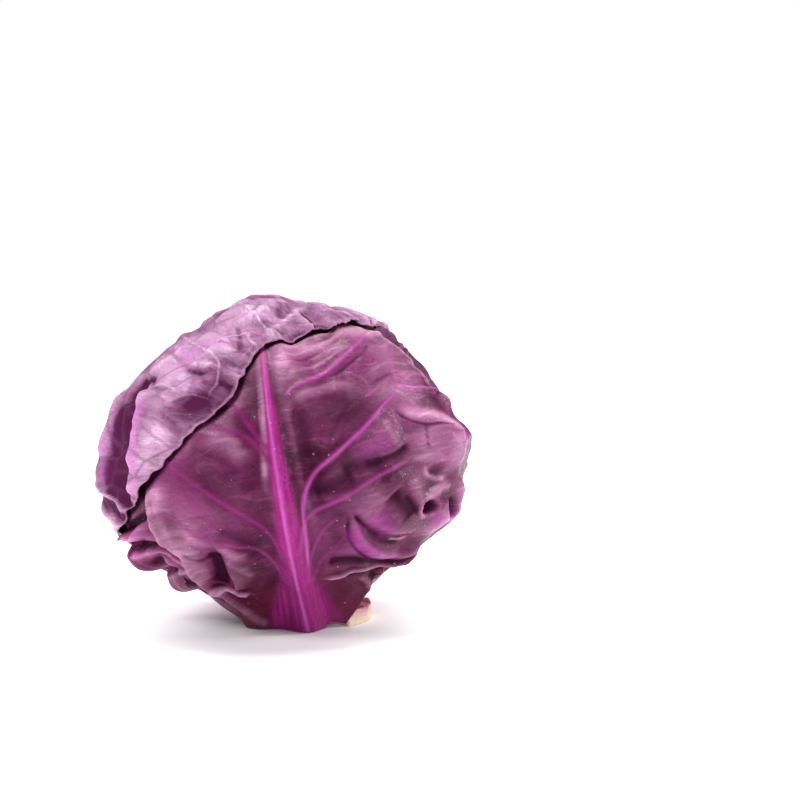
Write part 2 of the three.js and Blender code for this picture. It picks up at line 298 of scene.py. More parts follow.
def leafMaterial(name, look):
    made, tree, skin = newMaterial(name)
    spot = node(tree, "UVMap", uv_map="flatLeaf").outputs["UV"]
    vein, deepVein, rib, edge, hollowShade, crest, pale, low, waxed, violetSheen = (
        node(tree, "Attribute", attribute_name=word).outputs["Fac"]
        for word in ("vein", "deepVein", "rib", "edge", "hollowShade", "crest", "pale", "low", "wax", "violetSheen"))
    drawn = stretched(spot, (1, 2.6, 1))  # streaks run from the rib outwards
    streaks = noise(drawn, 4.5, 6, 0.6, 0.4)
    blotch = noise(spot, 2.2, 4, 0.5, 0.6)
    grain = noise(spot, 90, 3, 0.6)
    fibre = noise(stretched(spot, (1, 0.07, 1)), 42, 4, 0.6)  # fibres along the rib
    net = useGroup(fineNet, spot, Cells=look["netCells"], Line=0.1)["Net"]
    finer = useGroup(fineNet, spot, Cells=look["finerCells"], Line=0.14)["Net"]
    bloom = useGroup(waxBloom, spot, Patch=look["bloomPatch"], Fleck=look["fleckCells"])
    wrinkle = useGroup(wrinkles, drawn, Size=look["wrinkleSize"])
    papery = spread(waxed, 0.1, 0.7, 0.4, 1.0)  # the blade wrinkles more where it is drier and waxier
    mottle = spread(wrinkle["Swell"], 0.36, 0.66, 0.55, 1.0)  # no pale patch is even all over
    waxy = times(times(bloom["Bloom"], waxed), sums("SUBTRACT", 1.0, hollowShade))  # rubbed off in the folds, and less where shade is painted into them

    colour = blend(spread(streaks, 0.35, 0.68), look["deep"], look["lamina"])
    for mask, over in (
            (spread(blotch, 0.4, 0.68, 0, 0.8), look["light"]),
            (spread(grain, 0.5, 0.72, 0, look["grainTone"]), look["hollowShade"]),
            # painted highlight on the wrinkles' swellings and painted shade in their creases
            (times(spread(wrinkle["Swell"], 0.5, 0.74, 0, look["wrinkle"]), papery), look["crest"]),
            (times(times(wrinkle["Crease"], look["crease"]), papery), look["hollowShade"]),
            (times(net, look["netStrength"]), look["net"]),
            # painted highlight on the crests of the form
            (times(crest, mottle), look["crest"]),
            (low, look["foot"]),
            # painted highlight from the paler drawn tints
            (times(pale, mottle), look["pale"]),
            # painted shade in the hollows, in the folds and beside covering leaves
            (hollowShade, look["hollowShade"]),
            # painted violet sheen
            (times(violetSheen, mottle), look["violetSheen"]),
            (rib, blend(spread(fibre, 0.38, 0.66), look["ribDeep"], look["rib"])),
            (deepVein, look["veinDeep"]),
            (vein, look["vein"]),
            (times(waxy, look["bloom"]), look["bloomColour"]),
            # the pale rim: partly the thin edge's own colour and partly painted highlight
            (times(edge, spread(streaks, 0.3, 0.6, 0.35, 1.0)), look["edge"]),
            (times(bloom["Flecks"], look["fleckStrength"]), look["fleck"])):
        colour = blend(mask, colour, over)

    gloss = spread(blotch, 0.3, 0.7, *look["roughness"])
    for mask, factor in ((waxy, 0.1), (grain, 0.06), (hollowShade, 0.45)):
        gloss = plus(gloss, factor, mask)

    # the rib stays smooth
    furrow = times(plus(wrinkle["Swell"], -0.3, wrinkle["Crease"]), sums("SUBTRACT", papery, rib))
    height = times(net, look["netHeight"])
    for relief, factor in ((finer, 0.12), (times(fibre, rib), 0.35), (furrow, look["wrinkleHeight"]),
                           (grain, look["grainHeight"]), (streaks, look["streakHeight"])):
        height = plus(height, factor, relief)
    feedAll(skin, {"Base Color": colour, "Roughness": gloss, "Normal": bumped(height, 0.55, 0.0009),
                   "Specular IOR Level": look["specular"], "Coat Weight": spread(hollowShade, 0.0, 1.0, look["coat"], 0.0),
                   "Coat Roughness": 0.12})
    return made


headShape = {
    "centre": (-10, 0, 67.3), "lean": 8.3, "wrapRadius": 72,
    "wide": 70.5, "deep": 69, "crown": 62, "belly": 52,
    "layerStep": 3.1, "coreGap": 1.3, "drape": 18, "coverMargin": 3, "pressedRib": 0.4,
    "pressFrom": 5.0, "pressTo": -0.5, "neckFrom": 44, "neckTo": 21,
    "floorGap": 0.3, "rootDepth": 11, "rootReach": 0.09,
    "stalkRadius": 20, "stalkTop": 17.5, "stalkGap": 1.1,
}
plumLook = {  # colours as on a screen, then sizes and strengths
    "deep": (54, 2, 34), "lamina": (88, 12, 60), "light": (124, 48, 100), "net": (140, 60, 112),
    "crest": (174, 98, 148), "pale": (206, 146, 184), "hollowShade": (44, 0, 30),
    "vein": (196, 88, 180), "veinDeep": (108, 0, 80), "rib": (158, 36, 126), "ribDeep": (130, 14, 96),
    "violetSheen": (176, 68, 160), "edge": (196, 142, 166), "foot": (96, 14, 44),
    "fleck": (208, 160, 186), "bloomColour": (150, 76, 122),
    "netCells": 17.0, "finerCells": 46.0, "bloomPatch": 5.0, "fleckCells": 34.0, "wrinkleSize": 9.0,
    "netStrength": 0.06, "wrinkle": 0.42, "crease": 0.45, "grainTone": 0.12, "bloom": 0.15, "fleckStrength": 0.35,
    "netHeight": 0.1, "wrinkleHeight": 1.5, "grainHeight": 0.03, "streakHeight": 0.4,
    "roughness": (0.24, 0.38), "coat": 0.05, "specular": 0.09,
}
# the top leaf's copy of the plum look, lighter partly for its waxy bloom and partly as painted light where it faces up
# to the lamps
litWaxyLook = dict(
    plumLook, deep=(92, 32, 76), lamina=(154, 92, 138), light=(200, 148, 190), net=(190, 130, 176),
    crest=(210, 160, 200), pale=(230, 192, 220), hollowShade=(72, 0, 54), vein=(236, 204, 230),
    veinDeep=(84, 16, 70), rib=(200, 130, 184), ribDeep=(160, 76, 140), violetSheen=(200, 112, 192),
    edge=(176, 128, 158), bloomColour=(176, 128, 166), netStrength=0.08, wrinkleSize=11.0, wrinkle=0.22,
    crease=0.35, grainTone=0.4, bloom=0.45, netHeight=0.22, grainHeight=0.2, roughness=(0.25, 0.38), specular=0.16)

plainSide = {"half": [30, 60, 86, 98, 92, 70, 34], "rise": [-9, 6, 18, 22, 14, 2, -12],
             "veinsTo": [0.17, 0.35, 0.52, 0.69, 0.84]}
plainLeaf = {  # what a leaf has unless its own dictionary says otherwise
    "grid": (216, 226), "columns": [0, 1], "columnsAt": [-1, 1], "blade": 0.9, "foot": -87,
    "left": plainSide, "right": plainSide, "veinsFrom": [0.1, 0.26, 0.42, 0.58, 0.75], "ribHeight": 6, "ribHalf": 11,
    "ribKept": 1, "quilt": 0.45, "facets": 0, "jag": 1, "rimLift": 0.5, "edge": 1, "waxFrom": (1, 0, 0.1),
    "folds": [], "lines": [], "spots": [], "veins": [], "violetSheen": [],
}
rightLeaf = dict(
    plainLeaf, name="leaf_right", seed=11, azimuth=65, tip=112, neckDrop=1,
    grid=(180, 226),  # little of it shows, so it has fewer columns
    veinTone=(0.5, 0.5), smallVeins=(0.3, 0.1, 0.2, 0.5), ruffle=(3.5, 6, 0.55, 0.32),
    look=dict(plumLook, deep=(48, 8, 34), lamina=(72, 18, 52), light=(96, 40, 72), crest=(120, 76, 100),
              rib=(92, 48, 68), ribDeep=(66, 26, 46), edge=(140, 112, 118)))
leftLeaf = dict(
    plainLeaf, name="leaf_left", seed=23, azimuth=-78, tip=116, neckDrop=3, facets=0.2, veinTone=(0.2, 0.3),
    smallVeins=(0.1, 0.05, 0.25, 0.4), jag=0.4, ribKept=0.6, ruffle=(2, 5, 0, 0.3),
    folds=[((46, -16), (26, -18), 5, 3), ((50, -44), (26, -46), 6, 3)],
    # drawn folds and creases: points, half-width (or one for each side), height, how much paler or darker as painted
    # highlight and painted shade, and for some how far they push the blade sideways
    lines=[
        ([(-6, -13), (6, -13.5), (15, -13), (27, -10), (36, -7)], 1.8, -3, -1),
        ([(-14, -17), (-2, -18), (8, -18.5), (19, -18), (28, -15), (34, -12)], (2.8, 1.6), 6.2, 0.3),
        ([(-10, -17.4), (8, -18.9), (20, -18.4), (29, -15.4)], 0.9, 0.4, 0.7),
        ([(-6, -21.5), (4, -22.5), (12, -23), (21, -22), (30, -24), (36, -31)], (1.8, 1.7), -5.5, -1),
        ([(0, -26), (10, -27.2), (22, -26.5), (29, -29), (31, -34), (37, -42)], 1.2, 1.5, 0.8),
        ([(-8, -39.5), (2, -40.5), (12, -41.5), (22, -39.5)], 1.4, -5, -0.9),
        ([(4, -43), (12, -43), (22, -41.5), (34, -40.5)], 1.1, 1.3, 0.7),
        ([(20, -46), (29, -50), (38, -55)], 3.4, -1.4, -0.9),
        ([(2, -58), (14, -59), (24, -59), (36, -62)], 1.6, -3.4, -1),
        ([(6, -64), (16, -67), (28, -72), (40, -79)], 3.4, 2.8, 0),
        ([(6, -70), (16, -73), (26, -78), (36, -84)], 1.6, -2.8, -1),
        ([(8, -75), (18, -80), (26, -85)], 2.4, 1.4, -0.2),
    ],
    # round bulges and pits: middle, half-sizes, height, how much paler or darker as painted highlight and painted
    # shade, and how steep the sides are if not 2
    spots=[((31, -12.5), (3.5, 4.6), 2.4, 0.3), ((1, -30.5), (14, 7.6), 7.2, 0.25, 3),
              ((13, -33), (7.5, 3.4), -3.2, -0.9, 2.5), ((23.5, -33.5), (2.8, 2.8), 1.8, 0.5),
              ((8, -50), (16, 7.2), 6.5, 0.1, 3), ((-3, -27), (5, 4), 0, 0.6), ((46, -40), (5, 4), -3, -0.6),
              ((12, -68), (18, 10), 3.6, -0.25)],
    look=dict(plumLook, lamina=(92, 8, 66), light=(130, 40, 102), deep=(58, 2, 40), crest=(164, 74, 134),
              pale=(206, 136, 184), rib=(128, 40, 100), ribDeep=(86, 8, 60), edge=(150, 70, 118),
              bloom=0.1))
rightBackLeaf = dict(
    plainLeaf, name="leaf_right_back", seed=37, azimuth=138, tip=120, neckDrop=4.5, veinTone=(0.5, 0.6),
    smallVeins=(0.25, 0.1, 0.3, 0.4), ribHeight=7, ribHalf=12, ruffle=(2.5, 5, 0.4, 0.3),
    lines=[([(-24, 84), (-33, 75), (-40, 64), (-46, 52)], 6, 2.6, 0.1),
           ([(-30, 70), (-37, 60), (-42, 48)], 2.4, -1.8, -0.6)],
    look=dict(plumLook, deep=(50, 2, 34), lamina=(78, 6, 52), light=(116, 24, 82), crest=(160, 70, 124),
              bloom=0.1, specular=0.5, coat=0.2))
frontLeaf = dict(
    plainLeaf, name="leaf_front", seed=5, azimuth=2.5, foot=-88, tip=88, neckDrop=13,
    left={"half": [31, 42, 51.5, 60.5, 64, 64, 44], "rise": [-1, -1, 3, 6, 8, 6, -2]},
    right={"half": [23, 53, 74, 102, 98, 85, 62], "rise": [-2, -7, -14, -20, -24, -28, -24]},
    smallVeins=(0.06, 0, 0.16, 0.25), ribHeight=7.5, ribHalf=13, jag=0.45, quilt=0.75, edge=0.5,
    waxFrom=(0.12, 0.64, 0.88), ruffle=(1, 5, 0.1, 0.25),
    folds=[((50, -20), (82, -32), 11, 5), ((74, 4), (96, 0), 12, 4), ((38, -44), (60, -52), 8, 3)],
    lines=[
        # the smooth swelling on the right, the crease across it and the hollow in it, with painted highlight on the
        # swelling and painted shade in the crease and the hollow
        ([(57, 21.5), (62, 20.5), (67, 19), (74, 17), (81, 12.5), (88, 6)], (2.6, 3), 0.5, 1),
        ([(54, 22.5), (59, 18), (66, 14), (72, 13), (81, 11)], 0.5, -0.3, -0.5),
        ([(66, 14), (65.5, 10), (65, 3)], 0.5, -0.15, -0.4),
        ([(64, 13), (64.5, 5), (63, -3)], 6.5, 0.2, 0.4), ([(76, 8), (78, 1), (77, -6)], 4, 0.2, 0.2),
        ([(24, 2.5), (30, 3.5), (36, 4), (43, 3.5)], (2.4, 3.6), -0.8, -0.35),
        ([(34, 3), (42, 3.5), (50, 4.6), (57, 7.5)], (0.9, 2.6), -0.9, -0.5),
        ([(12, -5), (20, -4), (25, -2.5), (30, -1)], 3.6, -0.8, -0.4),
        ([(62.5, -3.5), (64.5, -8), (70, -11.5), (76, -12.5)], 1.1, 0.3, 0.4),
        # the hollow below it, with three dark folds; their darkness is painted shade
        ([(45, -11), (48, -16), (51, -20), (54, -24)], 4.2, -1.6, -0.65),
        ([(51, -14), (54, -19), (56, -24)], 1.2, -1, -0.5),
        ([(58.5, -20), (58, -24), (60, -27)], 0.9, 0.9, 0.6),
        ([(60, -17.5), (66, -17.5), (74, -16.5), (80, -17.5)], 2, 1.1, 0.45),
        # the pouch: its upper edge, the opening, the lower edge and the shadow under it; the opening and the shadow
        # are painted shade
        ([(30, -17), (36, -22), (43, -28), (51, -33), (59, -35)], 2.4, 1, 0, (-0.2, -0.7)),
        ([(27.5, -17), (30, -21), (35, -27), (39, -31)], (1, 0.7), -0.9, -0.55),
        ([(33, -26), (38, -32), (44, -37), (51, -39)], (3.6, 1.6), -0.7, -0.35),
        ([(27, -17), (27.5, -22), (30.5, -30), (36, -38.5), (43, -44.5), (50, -48), (57, -49), (64, -47)],
         (1.5, 2), 1.1, 0.1),
        ([(25, -18), (25, -25), (27.5, -34), (34, -43), (42, -50)], 0.7, -0.8, -0.45),
        ([(38, -50), (46, -54), (54, -55), (63, -52)], 2.6, -1.4, -0.7),
        ([(44, -34), (49, -37), (55, -38)], 0.9, 0.7, 0.8),
        # the folds below it, down to the torn edge over the stalk
        ([(15, -41), (24, -43), (32, -45.5), (41, -50)], 3.2, -2, -0.6),
        ([(12, -53), (24, -55), (32, -55), (44, -58.5), (51, -59.5), (57, -57)], 1.3, 1.7, 0.6),
        ([(25, -59), (33, -60), (40, -62), (49, -64), (58, -66)], 2, -4, -1),
        ([(33, -63), (38.5, -70), (39.5, -76), (36, -80), (31, -82)], 1.4, 1.4, 0.3),
        ([(42.5, -66), (45, -72), (44, -79)], 2.2, -3.4, -1),
        # the flanks of the rib: painted highlight close beside it and painted shade a little farther out
        ([(5, 52), (6, 36), (7, 24), (8.3, 9), (9, -7), (10.5, -20)], 2.2, 0.3, 0.2),
        ([(-2.2, 66), (-2.2, 48), (-2.4, 34), (-3.4, 20), (-6, 0)], 1.3, 0.3, 0.6),
        ([(12, 30), (12, 16), (13, 2), (14, -8)], 4.4, -0.6, -0.3),
        ([(-11, 40), (-11, 28), (-12, 14)], 4, -0.5, -0.35),
        # the pale folds and fine wrinkles of the top: painted highlight on the ridges and painted shade in the creases
        ([(9, 33), (17, 36), (24, 37.5), (32, 38), (38, 36)], (1.2, 3.4), 0.3, 0.35),
        ([(14, 30), (24, 32), (34, 31)], 3, -0.3, -0.2),
        ([(10, 50), (20, 53), (34, 60), (46, 64)], 0.8, -0.3, -0.2),
        ([(12, 54), (20, 57), (34, 63), (46, 68)], 0.9, 0.35, 0.35), ([(12, 58), (24, 62), (38, 67)], 0.8, -0.3, -0.2),
        ([(12, 61), (24, 66), (38, 70), (50, 73)], 0.9, 0.4, 0.4), ([(30, 66), (42, 70), (52, 72)], 0.8, -0.3, -0.2),
        ([(20, 46), (30, 52), (38, 57)], 0.8, 0.25, 0.25), ([(40, 64), (48, 66), (56, 66)], 0.8, 0.35, 0.45),
        ([(8, 44), (18, 47), (28, 51)], 0.8, 0.3, 0.3), ([(26, 41), (36, 46), (46, 52), (52, 58)], 0.8, -0.3, -0.25),
        ([(44, 40), (52, 44), (60, 46), (70, 44)], 0.8, 0.3, 0.25), ([(46, 36), (54, 39), (62, 40)], 0.8, -0.25, -0.2),
        ([(58, 70), (62, 62), (69, 53), (76, 41), (80, 30)], 1.4, 0.9, 0.6),
        # faint creases between the veins
        ([(20, 12), (24, 18), (30, 26), (38, 31)], 0.7, -0.15, -0.1),
        ([(-30, -8), (-36, -9), (-43, -8)], 0.8, -0.12, -0.08), ([(-20, -44), (-24, -36), (-29, -30)], 1.6, 0.5, 0.2),
        # the rolled left edge, the pit in it and the rim round the pit
        ([(-61, 3), (-58.5, -6), (-54.5, -14), (-52.5, -22), (-51, -31), (-49.5, -40), (-47, -48), (-44, -53)],
         (2.6, 3.4), 1.9, 0.75),
        ([(-42, -53), (-39, -61), (-33, -70), (-26, -77), (-18, -82)], 1.9, 1.6, 0.5),
        ([(-45, -51), (-40, -53.5), (-35, -53), (-31, -57), (-25, -59.5)], (0.9, 2.6), 2.4, 1.2),
        ([(-31.5, -26), (-30.5, -31), (-30, -38), (-29, -45), (-31, -54)], (5.5, 0.9), 2.2, 0.15),
        ([(-33.5, -26), (-33.5, -34), (-35.5, -42), (-39, -50)], 3.6, -4.4, -1.4),
        ([(-49, -19), (-47, -27), (-45.5, -37), (-43, -46)], 4, 0.6, 0.45),
        ([(-50, -27), (-46, -31), (-40, -31), (-35, -27.5)], 0.9, -0.4, -0.35),
        ([(-47, -18), (-38, -21), (-28, -26), (-19, -32)], 2.6, 0.5, 0.3),
        ([(-29, -15), (-20, -20), (-14, -32)], 3, -0.4, -0.35),
    ],
    spots=[
        ((76, 4), (14, 11), 2.2, 0.2), ((68.5, -6.8), (4.2, 3), -1, -0.3, 3),
        ((63.5, -23.2), (4.4, 2.5), -5, -1, 4), ((79, -28.5), (2.4, 4.4), -5, -1, 4),
        ((86, -21), (5, 6), 2.8, 0.5), ((36, -13), (9, 7), 1.5, 0.25), ((57, -13), (4, 7), 0.8, 0.3),
        ((70, -35), (11, 6), 1.6, 0.45), ((26, -70), (11, 10), 0.9, -0.35),
        ((-56.5, -3), (5, 5), 1.8, 0.8), ((-25, -37), (6, 9), 0.8, 0.1), ((-13, 37), (5, 6), 0.6, 0.8),
        ((-20, 22), (7, 7), 0.5, 0.35),
        ((-14, 16), (4, 5), 0.4, 0.5), ((-44, 22), (8, 5), 0.4, 0.5), ((48, 67), (12, 4), 0.3, 1.3),
        ((22, 60), (16, 4), 0.2, 0.8), ((7, 52), (4, 6), 0.2, 0.6), ((-54, 2), (5, 4), 0.3, 0.8),
        ((52, 30), (7, 4), 0.3, 0.4), ((42, 17), (10, 7), 0.9, 0.2), ((-36, -4), (12, 8), 0.9, 0.15),
        ((-20, -8), (8, 14), 0.5, -0.1), ((62, 38), (12, 14), 0.4, 0.25), ((10, 48), (6, 12), 0.2, 0.35),
        ((-30, 4), (14, 10), 0, -0.25), ((34, 22), (10, 6), 0, -0.3), ((20, -28), (9, 9), 0, -0.25),
        ((-30, -62), (12, 10), 0.3, -0.2), ((-44, -20), (6, 14), 0.4, 0.3), ((60, 54), (8, 8), 0.3, 0.3),
    ],
    # veins: drawn line, half-width at the start and at the end, height, paler middle and deeper sides
    veins=[
        # a painted highlight line along the crest of the rib
        ([(1.5, -90), (1, -74), (0, -59), (-0.6, -20), (-0.6, 10), (-0.4, 40), (0, 60)], 1.5, 0.8, 0.5, 1, 0),
        ([(3, -30), (6, -18), (11, -12.5), (18, -10.5), (26, -8), (37, -4), (47, -1.5), (57, 0)],
         1.4, 0.8, 1, 0.25, 0.9),
        ([(6, -44), (6.4, -28), (7, -12), (9, -4), (14, 3), (22, 8), (34, 15.5), (46, 24), (54, 30), (56, 34)],
         1.1, 1, 1.2, 0.75, 1),
        ([(55, 33), (60, 33), (68, 31.5), (88, 30.5)], 1, 0.8, 0.8, 0.7, 0.1),
        ([(56, 34), (58, 40), (60, 48), (66, 56)], 0.9, 0.7, 0.5, 0.3, 0.3),
        ([(40, 30), (50, 35), (56, 38)], 0.8, 0.7, 0.3, 0.4, 0),
        ([(36, 44), (42, 38), (44, 32)], 0.8, 0.7, 0.2, 0.25, 0),
        ([(7, 34.5), (9, 37), (12, 38.6), (18, 41)], 0.8, 1, 0.8, 0.7, 0),
        ([(14, 39.8), (18, 41.3), (25, 44), (33, 49), (41, 54.5), (48, 60), (54, 66)],
         1.3, 1.5, 0.6, 0.6, 0.5),
        ([(-3, -44), (-6, -26), (-11, -15), (-20, -6), (-29, 1), (-41, 10), (-54, 20)], 1.4, 0.8, 0.6, 0.1, 0.9),
        ([(-5, -60), (-9, -38), (-16, -27), (-24, -23), (-32, -21.5), (-41, -16), (-48, -9), (-56, -5)],
         1.4, 0.7, 0.6, 0.2, 0.8),
        ([(-2, 6), (-5, 14), (-11, 21), (-18, 24.5), (-25, 27), (-40, 34)], 1.2, 0.7, 0.5, 0.05, 1),
        ([(-2, 12), (-5, 18), (-9, 25), (-12, 30), (-15.5, 35), (-24, 48)], 1.1, 0.6, 0.5, 0.05, 1),
        ([(-29, 1), (-38, 2), (-52, 4)], 0.9, 0.6, 0.3, 0, 0.35),
        ([(5, -58), (12, -40), (20, -32), (26, -24)], 1.4, 0.8, 0.4, 0.05, 0.5),
        ([(4, -50), (9, -32), (14, -22), (22, -17)], 1.3, 0.8, 0.5, 0.15, 0.5),
    ],
    violetSheen=[  # the painted violet sheen of the pouch and of the swelling: drawn line, half-width, strength
        ([(27, -20), (29, -31), (36, -40), (44, -46), (56, -48)], 2.6, 0.65),
        ([(34, -18), (40, -24), (46, -31)], 5, 0.4),
        ([(84, 12), (87, 0), (84, -12)], 4.5, 0.5), ([(62, -30), (74, -34), (84, -34)], 5, 0.45),
        ([(28, 6), (40, 10), (54, 10)], 4, 0.3),
    ],
    look=dict(plumLook, bloom=0.7, bloomColour=(148, 102, 124)))
topLeaf = dict(
    plainLeaf, name="leaf_top", seed=41, azimuth=-125, tip=161, neckDrop=7.5, rimLift=-1.7, facets=0.7,
    grid=(168, 286), columns=[0, 0.2, 0.28, 1], columnsAt=[-1, 0, 0.35, 1],
    left={"half": [28, 58, 84, 98, 104, 96, 66], "rise": [-9, 4, 12, 14, 6, -6, -17]},
    right={"half": [28, 32, 38.5, 53, 91, 108.5, 116.5, 122, 118, 101, 80, 62, 26], "rise": [-9, 2, 2, 2, 0, 2, -3]},
    smallVeins=(0.1, 0.1, 0.75, 1.1), ribHeight=7.5, ribHalf=13, jag=0.8, ruffle=(1.2, 6, 0.3, 0.15),
    lines=[
        # the deep pleat on its right side: floor, bright ridge beside it, and the dark band that rolls round; the
        # floor and the band are painted shade and the ridge a painted highlight
        ([(71, 59), (80, 50), (85.5, 39), (88.5, 28), (89.5, 18), (88.5, 7), (87, -5)], (1.8, 5), -4, -0.9),
        ([(80, 60), (85.5, 50), (91, 40), (95, 28), (97, 14), (96, 0)], (13, 3.2), 4.2, 0.1),
        ([(82, 58), (86.5, 48), (91.5, 39), (94.5, 28), (95.5, 14), (94.5, 2)], 2.2, 0.4, 0.3),
        ([(56, 52), (60, 36), (63, 20), (67, 10), (76, 0)], (9, 12), 4, 0.1),
        ([(70, 48), (74, 34), (77, 20), (79, 8), (83, -4)], 9, 0, -1),
        ([(48, 14), (58, 7.5), (66, 3.5), (76, -1.5), (86, -9)], 1.1, 1.5, 1),
        ([(50, 8), (60, 1), (70, -6), (80, -13)], 3, -0.8, -0.5), ([(48, -2), (58, -8), (70, -13)], 3, 1.6, 0.5),
        ([(70, 61), (76, 60.5), (81, 59), (85, 62), (89, 64), (97, 63)], 0.9, 0.9, 0.8),
        # folds that run up to the crown
        ([(60, 89), (66, 80), (70, 69), (66, 60)], 3, 1.4, 0.4),
        ([(20, 141), (27, 147), (43, 151)], 1, -0.8, -0.35), ([(24, 138), (32, 144), (46, 148)], 2.4, 1.2, 0.4),
        ([(70, 126), (47, 135), (28, 140), (10, 142)], 1.4, 1, 0.5),
        ([(66, 122), (46, 130), (26, 134)], 2.4, -0.8, -0.3), ([(64, 112), (44, 124), (20, 130)], 1.6, 0.8, 0.4),
        ([(90, 103), (78, 109), (62, 113)], 1.3, -0.8, -0.4), ([(82, 82), (90, 83), (97, 86)], 2.4, 1, 1),
        ([(84, 77), (92, 78), (100, 79)], 1.6, -0.9, -0.5), ([(95, 96), (86, 100), (72, 104)], 1.6, 0.5, 0.3),
    ],
    spots=[
        ((112, 62), (8, 22), 0, -0.3), ((100, 92), (9, 14), 0, -0.35),
        ((73, 60), (5, 4), -2.6, -0.9), ((106, 37), (6.5, 6.5), 1, 1.1), ((102, 69), (6.5, 6), 1.5, 0.5),
        ((95, 54), (7, 5), 0.8, 0.35), ((108, 51), (5, 4), 1.2, 0.1), ((113, 66), (8, 18), 0, -0.5),
        ((110, 82), (5, 5), 0.3, -0.3), ((84, 92), (10, 7), 0.6, 0.5), ((105, 22), (4, 8), 0.6, 0.6),
        ((60, 132), (20, 8), 0.4, -0.25), ((40, 120), (16, 10), 0.8, 0.2), ((84, 72), (8, 7), 0.6, 0.55),
        ((72, 100), (10, 7), 0.4, 0.1), ((62, 141), (14, 5), 0, -0.35), ((100, 98), (8, 7), 0, -0.25),
        ((84, 118), (10, 6), 0, -0.2), ((76, 52), (6, 9), 0, -0.5), ((60, 105), (40, 34), 0, 0.3),
        ((66, 30), (10, 26), 0, -0.15), ((58, 8), (9, 14), 0, -0.1), ((99, 45), (6, 6), 1, 0.3),
        ((101, 24), (6, 6), 1, 0.2), ((99, 10), (5, 5), 0.9, 0.2), ((92, 66), (6, 5), 0.8, 0.2),
    ],
    # the painted violet sheen of the pleat's ridge and of the folds
    violetSheen=[
        ([(84, 56), (90, 46), (94, 36), (97, 24), (98, 12), (97, 0)], 2.8, 0.9),
        ([(62, 44), (64, 30), (67, 17), (74, 4)], 3, 0.35), ([(50, 30), (54, 14), (60, 2)], 4, 0.3),
        ([(96, 66), (102, 72), (106, 64)], 4, 0.3), ([(60, 100), (76, 98), (90, 98)], 6, 0.3),
        ([(86, 70), (80, 80), (66, 92)], 6, 0.4),
    ],
    veins=[
        ([(40, 84), (60, 89), (74, 92), (93, 91), (102, 85), (108, 79), (112, 73), (115, 66)],
         0.65, 0.6, 0.5, 0.6, 0.2),
        ([(89, 64), (101, 62), (107, 65), (115, 66)], 0.6, 0.6, 0.4, 0.3, 0.6),
        ([(91, 44), (98, 45), (106, 44), (114, 40)], 0.6, 0.6, 0.4, 0.1, 0.9),
        ([(106, 44), (105, 49), (113, 52), (117, 50)], 0.6, 0.6, 0.4, 0.2, 0.6),
        ([(93, 43), (97, 35), (100, 29), (110, 29)], 0.6, 0.6, 0.4, 0.15, 0.6),
        ([(36, 118), (49, 122), (64, 124), (71, 126), (78, 123)], 0.65, 0.6, 0.5, 1, 0),
        ([(74, 92), (73, 104), (72, 114), (78, 113), (90, 112)], 0.6, 0.6, 0.5, 1, 0),
        ([(102, 85), (99, 76), (101, 70), (100, 62)], 0.6, 0.6, 0.3, 0.2, 0.6),
    ],
    look=litWaxyLook)
wrapperLeaves = [rightLeaf, leftLeaf, rightBackLeaf, frontLeaf, topLeaf]  # from the inside out

for leaf in wrapperLeaves:
    turn = math.radians(leaf["azimuth"])
    leaf["out"] = np.array([math.sin(turn), -math.cos(turn), 0])
    leaf["side"] = np.array([math.cos(turn), math.sin(turn), 0])


def sideCurve(leaf, key, a, x):
    return np.where(x < 0, along(leaf["left"][key], a), along(leaf["right"][key], a))


def flatHeight(leaf, a, x):
    share = np.minimum(np.abs(x) / sideCurve(leaf, "half", a, x), 1)
    return leaf["foot"] + (leaf["tip"] - leaf["foot"]) * a + sideCurve(leaf, "rise", a, x) * share ** 1.5


def wrapLeaf(leaf, x, y):
    length = np.maximum(np.hypot(x, y), 1e-6)
    angle = length / headShape["wrapRadius"]
    share = np.sin(angle) / length
    return (np.cos(angle)[:, None] * leaf["out"] + (share * x)[:, None] * leaf["side"]
            + (share * y)[:, None] * np.array([0, 0, 1]))


def unwrapLeaf(leaf, direction):
    across = direction @ leaf["side"]
    angle = np.arccos(np.clip(direction @ leaf["out"], -1, 1))
    scale = angle * headShape["wrapRadius"] / np.maximum(np.hypot(across, direction[:, 2]), 1e-6)
    return across * scale, direction[:, 2] * scale


def insideBy(leaf, direction):
    # how far inside its outline a leaf holds a direction, in millimetres; below nought outside
    x, y = unwrapLeaf(leaf, direction)
    low, high = np.zeros_like(x), np.ones_like(x)
    for _ in range(12):
        middle = (low + high) / 2
        above = flatHeight(leaf, middle, x) < y
        low, high = np.where(above, middle, low), np.where(above, high, middle)
    edge = sideCurve(leaf, "half", low, x) - np.abs(x)
    ends = np.minimum(flatHeight(leaf, np.ones_like(x), x) - y, y - flatHeight(leaf, np.zeros_like(x), x))
    return np.minimum(edge, ends)


def ribHalfWidth(leaf, a):
    return leaf["ribHalf"] * (1 - a) ** 1.3 + 1.5


def coreRadius(direction):
    upright = np.where(direction[:, 2] < 0, headShape["belly"], headShape["crown"])
    x, y, z = direction.T
    return 1 / np.sqrt((x / headShape["wide"]) ** 2 + (y / headShape["deep"]) ** 2 + (z / upright) ** 2)


